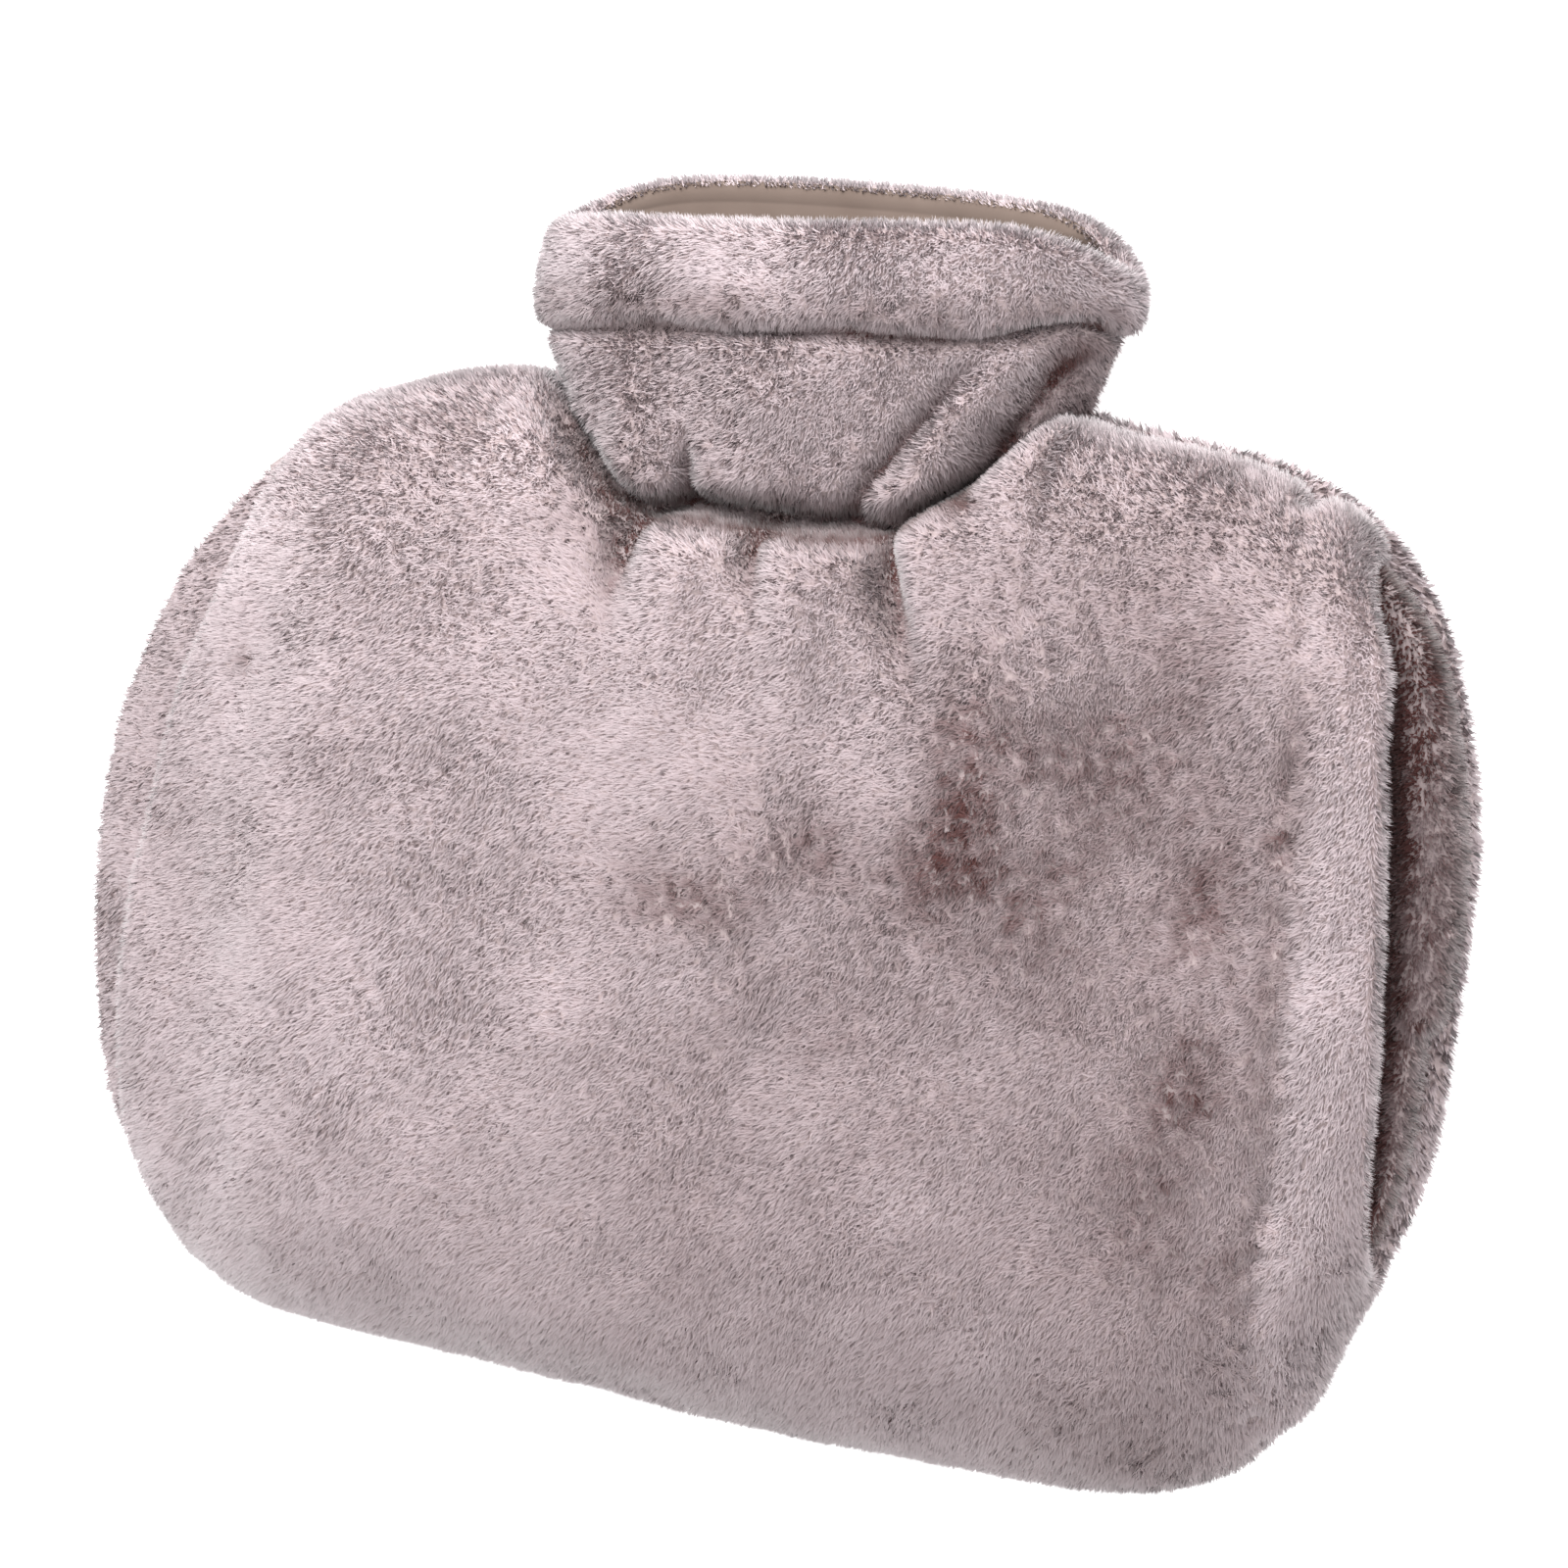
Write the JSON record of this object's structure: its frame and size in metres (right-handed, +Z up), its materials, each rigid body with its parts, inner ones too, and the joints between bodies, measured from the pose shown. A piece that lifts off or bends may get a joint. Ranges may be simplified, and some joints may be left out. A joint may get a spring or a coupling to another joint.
{
  "type": "hot water bottle cover",
  "caption": "Plush hot water bottle cover: a flat oval pouch with a muff panel over its front, open at the sides for the hands, and a gathered collar with a folded rim.",
  "frame": {"origin": "centre of the bounding box, on the surface that the cover's back lies on", "axes": "+X across the cover, to its right seen face on; +Y from the pouch towards the collar's rim; +Z up out of its face"},
  "size_m": [0.29, 0.2454, 0.0702],
  "materials": {
    "plush": "short dense pile, matt"
  },
  "bodies": {
    "root": {"back_panel": "plush", "inner_panel": "plush", "muff_panel": "plush", "collar_front": "plush", "collar_back": "plush"}
  },
  "joints": []
}
